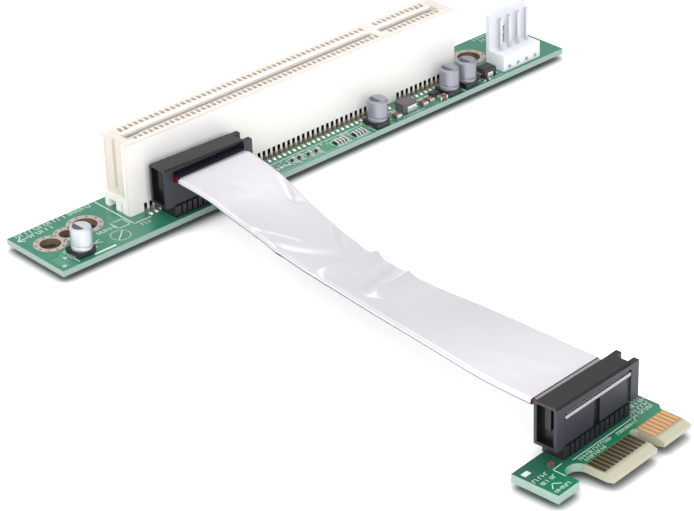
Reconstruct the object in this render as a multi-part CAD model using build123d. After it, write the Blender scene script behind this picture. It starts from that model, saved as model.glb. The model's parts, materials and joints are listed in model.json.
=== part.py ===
"""Flexible riser: a long slot board and a small edge card joined by a foil-wrapped ribbon cable.

X runs along the slot, Y towards the back edge of the long board, Z up. The origin is midway between
the two screw holes of the long board, on its underside. Millimetres.
"""
from build123d import *
import math
import os

os.makedirs("parts", exist_ok=True)

# Card slot: 62 positions, two of them taken by the key
POSITIONS = 62
KEY_POSITIONS = (50, 51)
SLOT_L = 84.84
SLOT_END = 3.685        # from the outer contact to the end of the housing
PITCH = (SLOT_L - 2 * SLOT_END) / (POSITIONS - 1)
SLOT_W = 8.0
SLOT_H = 14.8
SLOT_CORNER = 0.5
BAND_H = 3.2            # foot band of each end, under its groove and panel
END_WALL = 2.3          # closes each end of the channel
END_GROOVE_W = 1.0
END_GROOVE_D = 0.8
END_PANEL_W = 5.4
END_PANEL_D = 0.3
END_DIP_W = 4.4         # V-shaped dip in the top of each end wall
END_DIP_H = 0.8
CHANNEL_W = 1.9
CHANNEL_DEPTH = 10.6
LEAD_IN = 0.45          # chamfer at the channel's mouth
CHANNEL_WALL = 0.65     # between the channel and each row of contacts
ROW_W = 1.3             # width of each contact chamber
CEILING = 1.2           # over the contact chambers
WINDOW_X = 0.75
KEY_RIB = 1.6
ARCHES = ((0.3, 2.3), (-1.7, -1.3))     # y range of each arch between the feet of an end
ARCH_H = 1.7
ARCH_DEPTH = 2.4
TOOTH_GAP = 0.72        # notch for each solder foot
TOOTH_H = 1.7
PEG_R = 1.1
PEG_FIT = 0.05
PEG_X = SLOT_L / 2 - 1.52
PEG_DROP = 0.6          # how far the pegs stand out under the board

# Long board
HOLE_TO_SLOT = 7.68     # from each screw hole to the end of the slot
HOLE_X = SLOT_L / 2 + HOLE_TO_SLOT
BOARD_LEFT = HOLE_X + 13.4      # from the origin to the left end
BOARD_RIGHT = HOLE_X + 16.5     # from the origin to the right end
BOARD_FRONT = 11.2
BOARD_BACK = 6.0
BOARD_T = 1.2
HOLE_R = 2.4
RING_W = 1.15           # width of the plated ring round each hole
SPARE_HOLES = ((-4.5, -0.5, 1.5), (-8.9, -1.3, 2.0))    # x and y from the left screw hole, radius
PLATING_T = 0.05        # the plating lines each hole and spreads into its ring

# Contacts of the slot
CONTACT_T = 0.22
CONTACT_W = 0.45
FOOT_REACH = 5.65       # from the slot's middle to the end of a solder foot
FOOT_ROOT = 2.72
WAIST_H = SLOT_H - 8.3
TOUCH_Y = 0.82
TOUCH_H = SLOT_H - 4.4
TIP_Y = 2.2
TIP_H = SLOT_H - 2.2

# Flat cable: 26 wires
WIRE_COUNT = 26
WIRE_PITCH = 0.635
WIRE_T = 0.9
FOIL_GAP = 0.1
FOIL_T = 0.2
FOIL_START = 1.4        # bare cable between a socket and the foil
CABLE_LEAVE = 9.4       # from the middle of the long board's socket to the cable's first turn
CABLE_ARRIVE = 10.2     # from the cable's last turn to the middle of the card's socket
CABLE_LIE = ((-0.8, -21.9, 5.1), (-3.1, -37.9, 4.1), (-6.2, -57.9, 5.8), (-8.6, -77.9, 8.2))

# Cable sockets and the pin headers under them
SOCKET_L = 21.1
SOCKET_W = 4.6
SOCKET_BASE = 2.5       # underside of the socket above its board
CABLE_H = 8.0           # middle of the cable above the board
CABLE_FIT = 0.3         # clearance above and below the cable in the clamp
COVER_H = 1.8           # over the clamp, at the cover's high end
COVER_FALL = 0.65       # how far the cover's top falls towards its low end
COVER_CHAMFER = 0.35
COVER_LIP = 0.5         # cover left over the recess of the high end
COVER_CUT_H = 1.0       # undercut of the cover where the cable comes out
COVER_CUT_D = 1.2
EAR_L = 2.0
EAR_RISE = 0.85         # top of the low end's ear over the clamp
SADDLE_W = 2.4          # dip in the top of the ear, where the cover's strap lies
STRAP_RISE = 0.2
STRAP_T = 0.75
LATCH_W = 1.2
LATCH_T = 0.6
LATCH_DROP = 3.4
END_RECESS_W = 3.4
END_RECESS_D = 1.3
FACE_RECESS = 0.3
KEYWAY_W = 1.5
KEYWAY_D = 0.7
KEYWAY_H = 5.2
PIN_W = 0.4
PIN_PITCH = 1.27
PIN_ROWS = 1.27
PIN_TOP = 6.4
PIN_TAIL = 1.1          # under either board: the part stands on these
PIN_FIT = 0.16          # how much wider each hole is than its pin
HEADER_W = 4.4
HEADER_H = 2.3
HEADER_END = 0.9        # past the outer pins
HEADER_NOTCH = 0.36
BLADE_T = 0.2
BLADE_W = 0.9
BLADE_FOOT = 3.0
RISER_SOCKET = (-28.1, -8.1)    # middle of the socket on the long board

# Small edge card: u runs along the fingers from the key notch, v from the finger tips inwards
CARD_AT = (-30.5, -124.0)
CARD_YAW = 5.1
CARD_T = 1.57
CARD_DEPTH = 12.9
TAB_LEFT = 12.15
TAB_RIGHT = 8.15
KEY_NOTCH = 1.9
TAB_DEPTH = 6.0
BLOCK_LEFT = 21.6
BLOCK_RIGHT = 16.35
BLOCK_TIP = 3.5
REAR_RIGHT = 9.1
REAR_CHAMFER = 1.1
BEVEL = 1.3
BEVEL_DEPTH = 0.4
FINGER_PITCH = 1.0
FINGER_W = 0.7
FINGER_TIP = 2.05
FINGER_L = 3.5
FINGER_T = 0.04
FINGERS_LEFT = 11
FINGERS_RIGHT = 7
CARD_SOCKET = (-5.0, 11.0)      # u, v of the socket's middle

# Power header: four pins in a base with a tall back wall
POWER_X = HOLE_X + 5.15
POWER_FRONT = 10.4
POWER_L = 10.6
POWER_D = 5.1
POWER_BASE_H = 3.5
POWER_WALL_H = 11.7
POWER_WALL_T = 0.9
WALL_SLOT = (-1.6, -0.1, 3.6, 8.0)      # opening in the back wall: x from the header's middle, then z
POWER_PITCH = 2.5
POWER_PIN_SHIFT = 0.2   # row of pins from the header's middle
POWER_PIN_W = 0.64
POWER_PIN_TOP = 10.8
POWER_PIN_Y = 2.7       # from the base's front face
POWER_NOTCH = 0.8

# Small parts on the long board
CAN_R = 2.0
CAN_H = 5.4
CAN_BASE = 4.3
CAN_BASE_H = 1.0
CAN_LIFT = 0.1
LONE_CAN = (-6.5, -7.9)     # from the left screw hole
CAN_SPOTS = ((-33.9, -8.7), (-14.1, -8.7), (-9.1, -8.6))    # these and the rest from the right screw hole
DIODE_AT = (-3.7, -8.7)
DIODE_BODY = (3.3, 2.6, 2.1)
DIODE_TAB = 0.7
CHOKE_AT = (-25.9, -8.3)
CHOKE_BODY = (3.7, 2.9, 2.0)
IC_AT = (-17.8, -8.0)
IC_BODY = (2.0, 1.4, 1.0)
CHIP_T = 0.85
CAP_CHIP = (2.0, 1.25)
CAP_SPOTS = ((-29.6, -9.5, 90), (-22.1, -9.3, 90), (-20.2, -9.1, 90), (-17.6, -10.2, 0))
CHIP_END = 0.35
RES_CHIP = (1.6, 0.8)
RES_SPOTS = ((-56.5, -9.0, 90), (-54.7, -9.0, 90), (-52.5, -9.2, 90), (-50.5, -9.2, 90), (-5.5, -10.6, 0))
ARRAY_BODY = (3.2, 1.5, 0.55)
ARRAY_SPOTS = ((-44.5, -9.3), (-39.5, -9.3))
ARRAY_PITCH = 0.8

KEY_X = (sum(KEY_POSITIONS) / 2 - (POSITIONS + 1) / 2) * PITCH
CONTACT_XS = [(i - (POSITIONS + 1) / 2) * PITCH for i in range(1, POSITIONS + 1) if i not in KEY_POSITIONS]
ROW_Y = CHANNEL_W / 2 + CHANNEL_WALL + ROW_W / 2
CABLE_W = WIRE_COUNT * WIRE_PITCH
PIN_COUNT = WIRE_COUNT // 2
PIN_XS = [(i - (PIN_COUNT - 1) / 2) * PIN_PITCH for i in range(PIN_COUNT)]
HEADER_L = (PIN_COUNT - 1) * PIN_PITCH + 2 * HEADER_END
CLAMP_LOW = CABLE_H - WIRE_T / 2 - CABLE_FIT
CLAMP_HIGH = CABLE_H + WIRE_T / 2 + CABLE_FIT
SOCKET_TOP = CLAMP_HIGH + COVER_H
ON_BOARD = Location((0, 0, BOARD_T))
BY_LEFT_HOLE = Location((-HOLE_X, 0, BOARD_T))
BY_RIGHT_HOLE = Location((HOLE_X, 0, BOARD_T))
AT_RISER_SOCKET = Location((RISER_SOCKET[0], RISER_SOCKET[1], BOARD_T))
ON_CARD = Location((CARD_AT[0], CARD_AT[1], 0), (0, 0, CARD_YAW))
AT_CARD_SOCKET = ON_CARD * Location((CARD_SOCKET[0], CARD_SOCKET[1], CARD_T), (0, 0, 180))


def block(x0, x1, y0, y1, z0, z1):
    """A box between two corners."""
    return Pos((x0 + x1) / 2, (y0 + y1) / 2, (z0 + z1) / 2) * Box(x1 - x0, y1 - y0, z1 - z0)


def group(solids, place=Location()):
    """Separate solids kept as one sub-part, each moved to its place."""
    return Compound(children=[place * solid for solid in solids])


def strip(points, thick, width):
    """A flat metal strip bent along points (y, z), of one thickness, extruded along X about x = 0."""
    left, right = [], []
    for i, (y, z) in enumerate(points):
        normals = []
        for a, b in ((i - 1, i), (i, i + 1)):
            if a >= 0 and b < len(points):
                dy, dz = points[b][0] - points[a][0], points[b][1] - points[a][1]
                size = math.hypot(dy, dz)
                normals.append((-dz / size, dy / size))
        ny = sum(n[0] for n in normals)
        nz = sum(n[1] for n in normals)
        scale = thick / 2 * len(normals) / (ny * ny + nz * nz)
        left.append((y + ny * scale, z + nz * scale))
        right.append((y - ny * scale, z - nz * scale))
    outline = Plane.YZ * Polygon(*left, *reversed(right), align=None)
    return extrude(outline, width / 2, both=True)


def riser_board():
    """The long board with its screw holes, peg holes and pin holes."""
    width, depth = BOARD_LEFT + BOARD_RIGHT, BOARD_FRONT + BOARD_BACK
    middle = Pos((BOARD_RIGHT - BOARD_LEFT) / 2, (BOARD_BACK - BOARD_FRONT) / 2)
    outline = middle * Rectangle(width, depth)
    holes = [Pos(x, y) * Circle(r + PLATING_T) for x, y, r in plated_holes()]
    holes += [Pos(side * PEG_X, 0) * Circle(PEG_R + PEG_FIT) for side in (-1, 1)]
    holes += [Pos(*RISER_SOCKET) * hole for hole in pin_holes()]
    for x in power_pin_xs():
        hole_w = POWER_PIN_W + PIN_FIT
        holes.append(Pos(x, POWER_PIN_Y - POWER_FRONT) * Rectangle(hole_w, hole_w))
    return extrude(outline - holes, BOARD_T)


def plated_holes():
    """Place and finished radius of each plated hole: left and right screw hole, then the spare ones."""
    screws = [(side * HOLE_X, 0, HOLE_R) for side in (-1, 1)]
    return screws + [(x - HOLE_X, y, r) for x, y, r in SPARE_HOLES]


def hole_rings():
    """Plating through each hole with a flat ring on top. The rings run into each other at the left end."""
    rings, bores = [], []
    for x, y, r in plated_holes():
        barrel = Pos(x, y, BOARD_T / 2) * Cylinder(r + PLATING_T, BOARD_T)
        rings.append(barrel + Pos(x, y, BOARD_T + PLATING_T / 2) * Cylinder(r + RING_W, PLATING_T))
        bores.append(Pos(x, y, BOARD_T / 2) * Cylinder(r, 3 * BOARD_T))
    rings = [rings[1] - bores, (rings[0] + rings[2] + rings[3]) - bores]
    return group(rings)


def slot_housing():
    """The moulded slot: channel with key, chambers under windowed ceilings, comb of solder notches."""
    half = SLOT_L / 2
    body = block(-half, half, -SLOT_W / 2, SLOT_W / 2, 0, SLOT_H)
    body = fillet(body.edges().filter_by(Axis.Z), SLOT_CORNER)
    run = CONTACT_XS[-1] - CONTACT_XS[0] + PITCH
    reach = half - END_WALL
    cuts = [block(-reach, reach, -CHANNEL_W / 2, CHANNEL_W / 2, SLOT_H - CHANNEL_DEPTH, SLOT_H + 1)]
    mouth = Polygon((-CHANNEL_W / 2 - LEAD_IN, SLOT_H), (CHANNEL_W / 2 + LEAD_IN, SLOT_H),
                    (CHANNEL_W / 2, SLOT_H - LEAD_IN), (-CHANNEL_W / 2, SLOT_H - LEAD_IN), align=None)
    cuts.append(extrude(Plane.YZ * mouth, reach, both=True))
    inner = CHANNEL_W / 2 + CHANNEL_WALL
    for end in end_cuts():
        cuts += [end, mirror(end, Plane.YZ)]
    for side in (-1, 1):
        chamber = block(-run / 2, run / 2, inner, inner + ROW_W, -1, SLOT_H - CEILING)
        opening = block(-run / 2, run / 2, CHANNEL_W / 2 - 0.1, inner + 0.1, WAIST_H, SLOT_H - CEILING - 0.9)
        cuts += [chamber, opening] if side > 0 else [mirror(chamber, Plane.XZ), mirror(opening, Plane.XZ)]
    for x in CONTACT_XS:
        for side in (-1, 1):
            window = Pos(x, side * ROW_Y, SLOT_H) * Box(WINDOW_X, ROW_W, 4 * CEILING)
            notch_y = side * (inner + ROW_W / 2 + SLOT_W / 2)
            notch = Pos(x, notch_y, 0) * Box(TOOTH_GAP, SLOT_W, 2 * TOOTH_H)
            cuts += [window, notch]
    body = body - cuts
    rib_low, rib_top = SLOT_H - CHANNEL_DEPTH - 0.5, SLOT_H - 0.4
    rib = block(KEY_X - KEY_RIB / 2, KEY_X + KEY_RIB / 2, -inner, inner, rib_low, rib_top)
    body = body + rib
    for side in (-1, 1):
        body = body + Pos(side * PEG_X, 0, (ARCH_H - BOARD_T - PEG_DROP) / 2) * peg()
    return body


def end_cuts():
    """What is cut from the housing's right end: panel, groove, dip in the top and arches between the feet."""
    half, over, low = SLOT_L / 2, SLOT_H + 1, SLOT_H - CHANNEL_DEPTH
    rim = (END_DIP_W / 2, SLOT_H + 0.01)
    dip = Polygon((-rim[0], rim[1]), rim, (0, SLOT_H - END_DIP_H), align=None)
    cuts = [block(half - END_PANEL_D, half + 1, -END_PANEL_W / 2, END_PANEL_W / 2, BAND_H, over),
            block(half - END_GROOVE_D, half + 1, -END_GROOVE_W / 2, END_GROOVE_W / 2, low, over),
            Pos(half - END_WALL, 0, 0) * extrude(Plane.YZ * dip, END_WALL + 1)]
    for low, high in ARCHES:
        cuts.append(block(half - ARCH_DEPTH, half + 1, low, high, -1, ARCH_H))
    return cuts


def peg():
    """A locating peg with a chamfered tip, from the arch's top down through the board."""
    length = ARCH_H + BOARD_T + PEG_DROP
    pin = Cylinder(PEG_R, length)
    return chamfer(pin.edges().sort_by(Axis.Z)[0], 0.3)


def slot_contact(side):
    """One bent contact of the row on the given side, at x = 0."""
    foot = CONTACT_T / 2
    points = [(FOOT_REACH, foot), (FOOT_ROOT, foot), (FOOT_ROOT - 0.1, WAIST_H), (TOUCH_Y, TOUCH_H),
              (TIP_Y, TIP_H)]
    spring = strip(points, CONTACT_T, CONTACT_W)
    return spring if side > 0 else mirror(spring, Plane.XZ)


def slot_contacts(side):
    """The sixty contacts of one row."""
    spring = slot_contact(side)
    return [Pos(x, 0, 0) * spring for x in CONTACT_XS]


def pin_holes():
    """Outlines of the square holes for the pins of one header, about the header's middle."""
    hole = Rectangle(PIN_W + PIN_FIT, PIN_W + PIN_FIT)
    return [Pos(x, side * PIN_ROWS / 2) * hole for x in PIN_XS for side in (-1, 1)]


def header_base():
    """The moulded strip that holds the pins, notched between its positions."""
    base = block(-HEADER_L / 2, HEADER_L / 2, -HEADER_W / 2, HEADER_W / 2, 0, HEADER_H)
    hole = Box(PIN_W, PIN_W, 4 * HEADER_H)
    cuts = [Pos(x, side * PIN_ROWS / 2, 0) * hole for x in PIN_XS for side in (-1, 1)]
    for x in PIN_XS[:-1]:
        for side in (-1, 1):
            cuts.append(Pos(x + PIN_PITCH / 2, side * HEADER_W / 2, 0) * Box(HEADER_NOTCH, 1.0, 4 * HEADER_H))
    return base - cuts


def header_pins(board_t):
    """Square pins from the solder tails up into the socket."""
    low = -board_t - PIN_TAIL
    pin = block(-PIN_W / 2, PIN_W / 2, -PIN_W / 2, PIN_W / 2, low, PIN_TOP)
    return [Pos(x, side * PIN_ROWS / 2, 0) * pin for x in PIN_XS for side in (-1, 1)]


def socket_body():
    """Lower half of a cable socket: an ear at its low end, end recesses, a keyway, two blade chambers."""
    half_l, half_w = SOCKET_L / 2, SOCKET_W / 2
    body = block(-half_l, half_l, -half_w, half_w, SOCKET_BASE, CLAMP_LOW)
    body = body + block(half_l - EAR_L, half_l, -half_w, half_w, CLAMP_LOW - 0.5, CLAMP_HIGH + EAR_RISE)
    saddle_low, over = CLAMP_HIGH + STRAP_RISE - STRAP_T, SOCKET_TOP + 1
    cuts = [block(half_l - EAR_L - 1, half_l + 1, -SADDLE_W / 2, SADDLE_W / 2, saddle_low, over),
            block(half_l - END_RECESS_D, half_l + 1, -SADDLE_W / 2, SADDLE_W / 2, SOCKET_BASE + 0.6, over)]
    reach = PIN_XS[-1] + BLADE_W / 2 + 0.1
    low, high = PIN_ROWS / 2 - PIN_W / 2 - 0.06, PIN_ROWS / 2 + PIN_W / 2 + BLADE_T + 0.06
    chamber = block(-reach, reach, low, high, SOCKET_BASE - 1, CLAMP_LOW + 1)
    recess = block(half_l - END_RECESS_D, half_l + 1, -END_RECESS_W / 2, END_RECESS_W / 2,
                   SOCKET_BASE + 0.6, CLAMP_LOW + 0.01)
    width = CABLE_W / 2 + 0.2
    panel = block(-width, width, half_w - FACE_RECESS, half_w + 1, SOCKET_BASE - 1, CLAMP_LOW + 1)
    cuts += [recess, mirror(recess, Plane.YZ)]
    cuts += [chamber, mirror(chamber, Plane.XZ)]
    cuts += [panel, mirror(panel, Plane.XZ)]
    keyway_low = CLAMP_LOW - KEYWAY_H
    cuts.append(block(-KEYWAY_W / 2, KEYWAY_W / 2, half_w - KEYWAY_D, half_w + 1, keyway_low, CLAMP_LOW + 1))
    return body - cuts


def socket_cover():
    """The clamp bar over the cable: flush over its high end, strapped over the ear of its low end."""
    half_l, half_w = SOCKET_L / 2, SOCKET_W / 2
    inner = half_l - EAR_L
    side = Polygon((-half_l, CLAMP_HIGH), (inner, CLAMP_HIGH), (inner, SOCKET_TOP - COVER_FALL),
                   (-half_l, SOCKET_TOP), align=None)
    bar = extrude(Plane.XZ * side, half_w, both=True)
    rim = [e for e in bar.edges() if abs(abs(e.center().Y) - half_w) < 0.01
           and e.center().Z > CLAMP_HIGH + COVER_H / 2 and abs(e.center().X) < inner]
    bar = chamfer(rim, COVER_CHAMFER)
    cover = bar + block(-half_l, -inner, -half_w, half_w, CLAMP_LOW, CLAMP_HIGH + 0.1)
    recess_in = half_l - END_RECESS_D
    cover = cover - [block(-half_l - 1, -recess_in, -END_RECESS_W / 2, END_RECESS_W / 2, CLAMP_LOW - 1,
                           SOCKET_TOP - COVER_LIP),
                     block(-inner, inner + 1, -half_w - 1, COVER_CUT_D - half_w, CLAMP_HIGH - 1,
                           CLAMP_HIGH + COVER_CUT_H)]
    strap_top = CLAMP_HIGH + STRAP_RISE
    arm_low, arm_end = strap_top - LATCH_DROP, recess_in + LATCH_T
    cover = cover + block(inner, arm_end, -SADDLE_W / 2, SADDLE_W / 2, strap_top - STRAP_T, strap_top)
    cover = cover + block(recess_in, arm_end, -LATCH_W / 2, LATCH_W / 2, arm_low, strap_top)
    far_top = SOCKET_TOP - COVER_LIP + 0.1
    return cover + block(-arm_end, -recess_in, -LATCH_W / 2, LATCH_W / 2, arm_low, far_top)


def socket_blades():
    """Forked blades that bite the wires and press on the header's pins."""
    top = CLAMP_LOW
    half = BLADE_W / 2
    fork = Polygon((-half, BLADE_FOOT), (half, BLADE_FOOT), (half, top), (half - 0.25, top),
                   (0, top - 1.0), (0.25 - half, top), (-half, top), align=None)
    blade = extrude(Plane.XZ * fork, BLADE_T / 2, both=True)
    y = PIN_ROWS / 2 + PIN_W / 2 + BLADE_T / 2
    return [Pos(x, side * y, 0) * blade for x in PIN_XS for side in (-1, 1)]


def card_outline():
    """The edge card seen from above, in u and v."""
    key = KEY_NOTCH / 2
    points = [(-BLOCK_LEFT, BLOCK_TIP), (-BLOCK_RIGHT, BLOCK_TIP), (-BLOCK_RIGHT, TAB_DEPTH + 1.4),
              (-TAB_LEFT, TAB_DEPTH + 1.4), (-TAB_LEFT, 0), (-key, 0), (-key, TAB_DEPTH), (key, TAB_DEPTH),
              (key, 0), (TAB_RIGHT, 0), (TAB_RIGHT, TAB_DEPTH), (REAR_RIGHT, TAB_DEPTH + REAR_CHAMFER),
              (REAR_RIGHT, CARD_DEPTH), (-BLOCK_LEFT, CARD_DEPTH)]
    return Polygon(*points, align=None)


def card_board():
    """The small card: bevelled finger tips, rounded notches, pin holes."""
    board = extrude(card_outline(), CARD_T)
    notch_r = (BLOCK_RIGHT - TAB_LEFT) / 2 - 0.1
    inner = [e for e in board.edges().filter_by(Axis.Z) if abs(e.center().Y - TAB_DEPTH - 1.4) < 0.01]
    board = fillet(inner, notch_r)
    crown = [e for e in board.edges().filter_by(Axis.Z)
             if abs(e.center().Y - TAB_DEPTH) < 0.01 and abs(e.center().X) < KEY_NOTCH]
    board = fillet(crown, KEY_NOTCH / 2 - 0.1)
    wedge = Polygon((-0.1, CARD_T + 0.1), (-0.1, CARD_T - BEVEL_DEPTH), (0, CARD_T - BEVEL_DEPTH),
                    (BEVEL, CARD_T), (BEVEL, CARD_T + 0.1), align=None)
    upper = extrude(Plane.YZ * wedge, BLOCK_LEFT + 1, both=True)
    lower = mirror(upper, Plane.XY.offset(CARD_T / 2))
    board = board - [upper, lower]
    holes = [extrude(Pos(*CARD_SOCKET) * hole, CARD_T) for hole in pin_holes()]
    return ON_CARD * (board - holes)


def edge_fingers(z):
    """Plated fingers on one face of the card, with z the underside of the plating."""
    left = [-TAB_LEFT + 0.65 + (i + 0.0) * FINGER_PITCH for i in range(FINGERS_LEFT)]
    right = [KEY_NOTCH / 2 + 0.55 + i * FINGER_PITCH for i in range(FINGERS_RIGHT)]
    pad = Pos(0, FINGER_TIP + FINGER_L / 2, z + FINGER_T / 2) * Box(FINGER_W, FINGER_L, FINGER_T)
    return group([Pos(u, 0, 0) * pad for u in left + right], ON_CARD)


def cable_route():
    """The cable's middle line, from the back of one socket to the front of the other."""
    x, y = RISER_SOCKET
    start = (x, y + SOCKET_W / 2, BOARD_T + CABLE_H)
    leave = (x, y - CABLE_LEAVE, BOARD_T + CABLE_H)
    lying = [(x + dx, y + dy, BOARD_T + h) for dx, dy, h in CABLE_LIE]
    arrive = (ON_CARD * Location((CARD_SOCKET[0], CARD_SOCKET[1] + CABLE_ARRIVE, CARD_T + CABLE_H))).position
    end = (ON_CARD * Location((CARD_SOCKET[0], CARD_SOCKET[1] - SOCKET_W / 2, CARD_T + CABLE_H))).position
    return [Vector(*p) for p in [start, leave] + lying] + [arrive, end]


def route_radii(points):
    """The largest arc that each corner's two runs leave room for."""
    radii = []
    for a, b, c in zip(points, points[1:], points[2:]):
        before, after = b - a, c - b
        half_turn = math.radians(before.get_angle(after)) / 2
        radii.append(0.45 * min(before.length, after.length) / math.tan(half_turn))
    return radii


def along_cable(section, trim):
    """Sweeps a flat section along the route, less a trim at each end."""
    points = cable_route()
    radii = route_radii(points)
    points[0] = points[0] + (points[1] - points[0]).normalized() * trim
    points[-1] = points[-1] + (points[-2] - points[-1]).normalized() * trim
    path = FilletPolyline(*points, radius=radii)
    start = Plane(origin=points[0], x_dir=(1, 0, 0), z_dir=(0, -1, 0))
    return sweep(start * section, path=path), path


def cable_wires():
    """The grey wires, side by side in one flat cable."""
    width = CABLE_W - WIRE_PITCH
    return along_cable(Pos(WIRE_PITCH / 2, 0) * Rectangle(width, WIRE_T), 0)[0]


def cable_marker():
    """The red marker wire at the cable's left edge."""
    return along_cable(Pos((WIRE_PITCH - CABLE_W) / 2, 0) * Rectangle(WIRE_PITCH, WIRE_T), 0)[0]


def foil_wrap():
    """The foil sleeve round the cable between the sockets."""
    inner_w, inner_h = CABLE_W + 2 * FOIL_GAP, WIRE_T + 2 * FOIL_GAP
    section = Rectangle(inner_w + 2 * FOIL_T, inner_h + 2 * FOIL_T) - Rectangle(inner_w, inner_h)
    wrap, path = along_cable(section, SOCKET_W + FOIL_START)
    print("cable route radii", [round(r, 1) for r in route_radii(cable_route())])
    print("foil volume", round(wrap.volume, 1), "section times length", round(section.area * path.length, 1))
    return wrap


def power_pin_xs():
    """Places of the four power pins along X."""
    return [POWER_X + POWER_PIN_SHIFT + (i - 1.5) * POWER_PITCH for i in range(4)]


def power_housing():
    """Base block with a tall thin slotted back wall, and a notch at the foot of each pin."""
    x0, x1 = POWER_X - POWER_L / 2, POWER_X + POWER_L / 2
    back = POWER_D - POWER_FRONT
    base = block(x0, x1, -POWER_FRONT, back, 0, POWER_BASE_H)
    wall = block(x0, x1, back - POWER_WALL_T, back, 0, POWER_WALL_H)
    wall = chamfer(wall.edges().filter_by(Axis.Y).group_by(Axis.Z)[-1], 0.4)
    housing = base + wall
    slot_x0, slot_x1, slot_z0, slot_z1 = WALL_SLOT
    cuts = [block(POWER_X + slot_x0, POWER_X + slot_x1, back - 2 * POWER_WALL_T, back + 1, slot_z0, slot_z1)]
    for x in power_pin_xs():
        cuts.append(Pos(x, POWER_PIN_Y - POWER_FRONT, 0) * Box(POWER_PIN_W, POWER_PIN_W, 4 * POWER_BASE_H))
        cuts.append(block(x - POWER_NOTCH / 2, x + POWER_NOTCH / 2, -POWER_FRONT - 1, -POWER_FRONT + 0.7,
                          0.35, 0.35 + POWER_NOTCH))
    return housing - cuts


def power_pins():
    """Four square pins with pointed tips."""
    pins = []
    for x in power_pin_xs():
        half = POWER_PIN_W / 2
        pin = block(-half, half, -half, half, -BOARD_T - PIN_TAIL, POWER_PIN_TOP)
        pin = chamfer(pin.faces().sort_by(Axis.Z)[-1].edges(), 0.2)
        pins.append(Pos(x, POWER_PIN_Y - POWER_FRONT, 0) * pin)
    return pins


def capacitor_can():
    """Crimped aluminium can, standing on its base."""
    low, top = CAN_BASE_H, CAN_H
    profile = Polyline((0, low), (CAN_R, low), (CAN_R, low + 0.5), (CAN_R - 0.2, low + 0.75),
                       (CAN_R, low + 1.0), (CAN_R, top - 0.3), (CAN_R - 0.3, top), (0, top), (0, low))
    return revolve(Plane.XZ * make_face(profile), Axis.Z)


def capacitor_base():
    """Moulded base plate with two cut corners."""
    half = CAN_BASE / 2
    base = block(-half, half, -half, half, CAN_LIFT, CAN_BASE_H)
    cut = [e for e in base.edges().filter_by(Axis.Z) if e.center().X > 0]
    return chamfer(cut, 0.9)


def capacitor_leads():
    """Two flat leads that come out under the base."""
    reach = CAN_BASE / 2 + 0.35
    return [block(0.6, reach, -0.4, 0.4, 0, CAN_LIFT), block(-reach, -0.6, -0.4, 0.4, 0, CAN_LIFT)]


def chip(size, spot, thick):
    """Body and two end caps of one chip part, at a spot (x, y, turn)."""
    length, width = size
    place = BY_RIGHT_HOLE * Location((spot[0], spot[1], 0), (0, 0, spot[2]))
    half = length / 2
    body = block(CHIP_END - half, half - CHIP_END, -width / 2, width / 2, 0.02, thick)
    caps = [block(-half, CHIP_END - half, -width / 2, width / 2, 0, thick),
            block(half - CHIP_END, half, -width / 2, width / 2, 0, thick)]
    return place * body, [place * cap for cap in caps]


def resistor_array(spot):
    """Body and eight end caps of one four-part array."""
    length, width, thick = ARRAY_BODY
    body = block(-length / 2, length / 2, 0.3 - width / 2, width / 2 - 0.3, 0.02, thick)
    caps = []
    for i in range(4):
        x = (i - 1.5) * ARRAY_PITCH
        for side in (-1, 1):
            y = side * (width / 2 - 0.15)
            caps.append(block(x - 0.22, x + 0.22, y - 0.15, y + 0.15, 0, thick))
    place = BY_RIGHT_HOLE * Pos(spot[0], spot[1], 0)
    return place * body, [place * cap for cap in caps]


def three_leg_ic():
    """Small three-legged part: body and legs."""
    length, width, height = IC_BODY
    body = block(-length / 2, length / 2, -width / 2, width / 2, 0.1, height)
    body = chamfer(body.faces().sort_by(Axis.Z)[-1].edges(), 0.15)
    legs = []
    for x, side in ((-0.65, -1), (0.65, -1), (0, 1)):
        points = [(width / 2 + 0.5, 0.06), (width / 2 + 0.2, 0.06), (width / 2 + 0.2, 0.5), (width / 2, 0.5)]
        leg = Pos(x, 0, 0) * strip(points, 0.12, 0.4)
        legs.append(leg if side > 0 else mirror(leg, Plane.XZ))
    place = BY_RIGHT_HOLE * Pos(IC_AT[0], IC_AT[1], 0)
    return place * body, [place * leg for leg in legs]


def diode():
    """Moulded power diode and its two folded end tabs."""
    length, width, height = DIODE_BODY
    body = block(-length / 2, length / 2, -width / 2, width / 2, 0.12, height)
    body = chamfer(body.faces().sort_by(Axis.Z)[-1].edges(), 0.2)
    half = length / 2
    tabs = []
    for side in (-1, 1):
        points = [(half - 0.5, 0.06), (half + DIODE_TAB, 0.06), (half + DIODE_TAB, 1.1), (half, 1.1)]
        tab = Rot(0, 0, -90 * side) * strip(points, 0.12, 1.5)
        tabs.append(tab)
    place = BY_RIGHT_HOLE * Pos(DIODE_AT[0], DIODE_AT[1], 0)
    return place * body, [place * tab for tab in tabs]


def choke():
    """Moulded choke on two end tabs."""
    length, width, height = CHOKE_BODY
    body = block(-length / 2, length / 2, -width / 2, width / 2, 0.15, height)
    body = chamfer(body.edges().filter_by(Axis.Z), 0.3)
    tabs = [block(side * length / 2 - 0.5, side * length / 2 + 0.5, -0.8, 0.8, 0, 0.15) for side in (-1, 1)]
    place = BY_RIGHT_HOLE * Pos(CHOKE_AT[0], CHOKE_AT[1], 0)
    return place * body, [place * tab for tab in tabs]


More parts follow.
